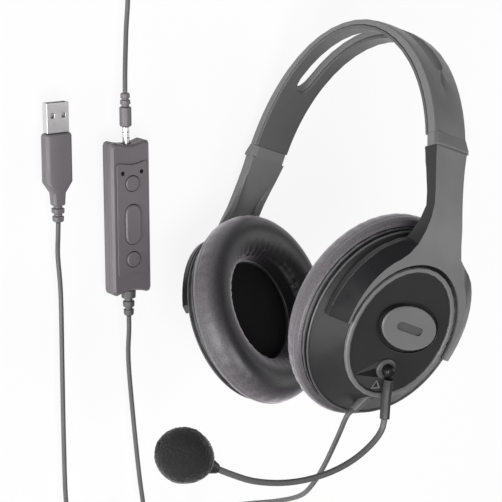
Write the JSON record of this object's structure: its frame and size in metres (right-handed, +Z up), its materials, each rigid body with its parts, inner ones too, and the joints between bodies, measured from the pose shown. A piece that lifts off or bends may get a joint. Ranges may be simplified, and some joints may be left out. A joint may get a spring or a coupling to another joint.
{
  "type": "office headset",
  "caption": "Over-ear office headset lying on its side, with a bendable microphone boom, slotted sliding headband, padded oval ear cups and a corded call controller with a USB plug.",
  "frame": {"origin": "table level under the middle of the headset's own box, without its cords and what hangs on them", "axes": "+Z up from the table; -X toward the headband's crown; the wearer's front faces -Y, the wearer's left is up"},
  "size_m": [0.3424, 0.2449, 0.1611],
  "materials": {
    "arm": "satin moulded grey plastic",
    "trim": "satin lighter grey plastic",
    "plate": "polished black plastic",
    "shell": "matt charcoal plastic",
    "leatherette": "soft dark leatherette",
    "cloth": "thin black speaker cloth",
    "steel": "bare steel",
    "foam": "open black foam",
    "rubber": "black soft PVC",
    "case": "fine matt grey plastic",
    "nickel": "plated nickel",
    "board": "green circuit board",
    "lens": "dark light pipe",
    "tongue": "white contact carrier"
  },
  "bodies": {
    "left_cup": {"left_cup_shell": "shell", "left_trim_ring": "trim", "left_outer_plate": "plate", "left_badge_disc": "trim", "left_baffle": "shell", "left_driver": "steel", "left_ear_cloth": "cloth", "left_ear_cushion": "leatherette", "left_front_pivot_pin": "steel", "left_rear_pivot_pin": "steel", "cord_gland": "rubber", "headset_cord_drop": "rubber", "headset_cord_coil": "rubber", "headset_coil_tie": "rubber", "headset_cord_run": "rubber", "jack_plug_body": "rubber", "jack_pin": "nickel", "controller_top_case": "case", "controller_bottom_case": "case", "controller_face_panel": "case", "controller_board": "board", "controller_jack_socket": "plate", "light_pipe_left": "lens", "light_pipe_right": "lens", "controller_strain_relief": "rubber", "usb_cord_lead": "rubber", "usb_cord_coil": "rubber", "usb_coil_tie": "rubber", "usb_cord_tail": "rubber", "usb_plug_boot": "rubber", "usb_plug_shell": "nickel", "usb_plug_tongue": "tongue"},
    "left_arm": {"left_arm": "arm", "left_slider_strip": "steel"},
    "headband": {"headband_outer": "arm", "headband_liner": "arm", "left_collar": "arm", "right_collar": "arm"},
    "right_arm": {"right_arm": "arm", "right_slider_strip": "steel"},
    "right_cup": {"right_cup_shell": "shell", "right_trim_ring": "trim", "right_outer_plate": "plate", "right_badge_disc": "trim", "right_baffle": "shell", "right_driver": "steel", "right_ear_cloth": "cloth", "right_ear_cushion": "leatherette", "right_front_pivot_pin": "steel", "right_rear_pivot_pin": "steel"},
    "boom": {"boom_hub": "shell", "boom_sleeve": "shell", "boom_gooseneck": "rubber", "mic_holder": "shell", "mic_capsule": "steel", "mic_windscreen": "foam"},
    "mute_button": {"mute_button": "case"},
    "volume_rocker": {"volume_rocker": "case"},
    "lower_button": {"lower_button": "case"}
  },
  "joints": [
    {"name": "left_tilt", "type": "hinge", "parent": "left_cup", "child": "left_arm", "pos_m": [0.02277, 0.0279, 0.1473], "axis": [0.0846, 0.9939, 0.0714], "range_deg": [0, 10]},
    {"name": "left_slide", "type": "slide", "parent": "left_arm", "child": "headband", "axis": [-0.8788, 0.0058, -0.4771], "range_m": [0, 0.016]},
    {"name": "right_slide", "type": "slide", "parent": "headband", "child": "right_arm", "axis": [0.9936, 0.0014, -0.1132], "range_m": [0, 0.016]},
    {"name": "right_tilt", "type": "hinge", "parent": "right_arm", "child": "right_cup", "pos_m": [0.04575, 0.02934, 0.02909], "axis": [0.1006, 0.9949, -0.0111], "range_deg": [0, 10]},
    {"name": "boom_swing", "type": "hinge", "parent": "left_cup", "child": "boom", "pos_m": [0.04361, 0.02784, 0.15003], "axis": [-0.1834, 0.086, -0.9793], "range_deg": [0, 90]},
    {"name": "mute_press", "type": "slide", "parent": "left_cup", "child": "mute_button", "axis": [0, 0, -1], "range_m": [0, 0.0008], "stiffness_N_per_m": 600, "springref_m": -0.0004},
    {"name": "volume_rock", "type": "hinge", "parent": "left_cup", "child": "volume_rocker", "pos_m": [0.01622, -0.03654, 0.0074], "axis": [0.3551, -0.9348, 0], "range_deg": [-3, 3], "stiffness_Nm_per_rad": 0.3},
    {"name": "lower_press", "type": "slide", "parent": "left_cup", "child": "lower_button", "axis": [0, 0, -1], "range_m": [0, 0.0008], "stiffness_N_per_m": 600, "springref_m": -0.0004}
  ]
}
